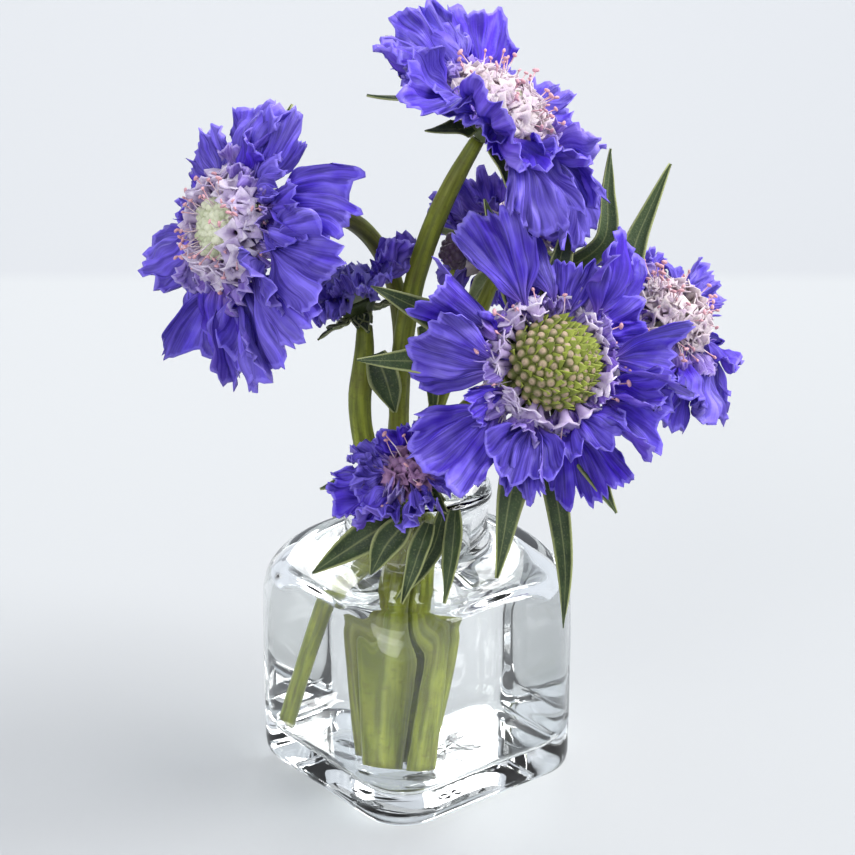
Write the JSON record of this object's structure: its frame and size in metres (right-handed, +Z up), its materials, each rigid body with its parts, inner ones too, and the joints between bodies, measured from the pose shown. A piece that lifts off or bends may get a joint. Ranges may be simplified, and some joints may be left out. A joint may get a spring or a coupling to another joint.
{
  "type": "cut flowers in a glass bottle",
  "caption": "Blue scabious flowers with frilled outer florets and leafy bracts, standing in a small square glass bottle of water.",
  "frame": {"origin": "centre of the bottle's flat base, on the surface it stands on", "axes": "+Z up along the bottle's neck; -Y is the show side that the front flower faces; +X is to the right seen from there"},
  "size_m": [0.1185, 0.0695, 0.1539],
  "materials": {
    "glass": "gloss",
    "water": "polished",
    "stem": "satin",
    "leaf": "matte",
    "receptacle": "matte",
    "ray_florets": "matte",
    "button_green": "matte",
    "inner_florets": "matte",
    "dried_bud": "matte"
  },
  "bodies": {
    "root": {"bottle": "glass", "water": "water", "stem_front": "stem", "stem_left": "stem", "stem_top": "stem", "stem_right": "stem", "stem_back": "stem", "stem_small_left": "stem", "stem_low": "stem", "button_front": "button_green", "receptacle_front": "receptacle", "button_left": "inner_florets", "receptacle_left": "receptacle", "rays_left": "ray_florets", "button_top": "inner_florets", "receptacle_top": "receptacle", "rays_top": "ray_florets", "button_right": "inner_florets", "receptacle_right": "receptacle", "rays_right": "ray_florets", "button_back": "inner_florets", "receptacle_back": "receptacle", "rays_back": "ray_florets", "button_small_left": "inner_florets", "receptacle_small_left": "receptacle", "rays_small_left": "ray_florets", "button_low": "inner_florets", "receptacle_low": "receptacle", "rays_low": "ray_florets", "ray_front_1": "ray_florets", "ray_front_2": "ray_florets", "ray_front_3": "ray_florets", "ray_front_4": "ray_florets", "ray_front_5": "ray_florets", "ray_front_6": "ray_florets", "ray_front_7": "ray_florets", "ray_front_8": "ray_florets", "ray_front_9": "ray_florets", "ray_front_10": "ray_florets", "bract_front_1": "leaf", "bract_front_2": "leaf", "bract_front_3": "leaf", "bract_front_4": "leaf", "bract_front_5": "leaf", "bract_front_6": "leaf", "leaf_drooping": "leaf", "leaf_hanging": "leaf", "leaf_upright": "leaf", "leaf_tall_left": "leaf", "leaf_tall_right": "leaf", "leaf_joint": "stem", "low_leaf_1": "leaf", "low_leaf_2": "leaf", "low_leaf_3": "leaf", "low_leaf_4": "leaf", "low_leaf_5": "leaf", "low_leaf_6": "leaf", "low_leaf_7": "leaf", "bud_stalk": "stem", "bud": "dried_bud"}
  },
  "joints": []
}
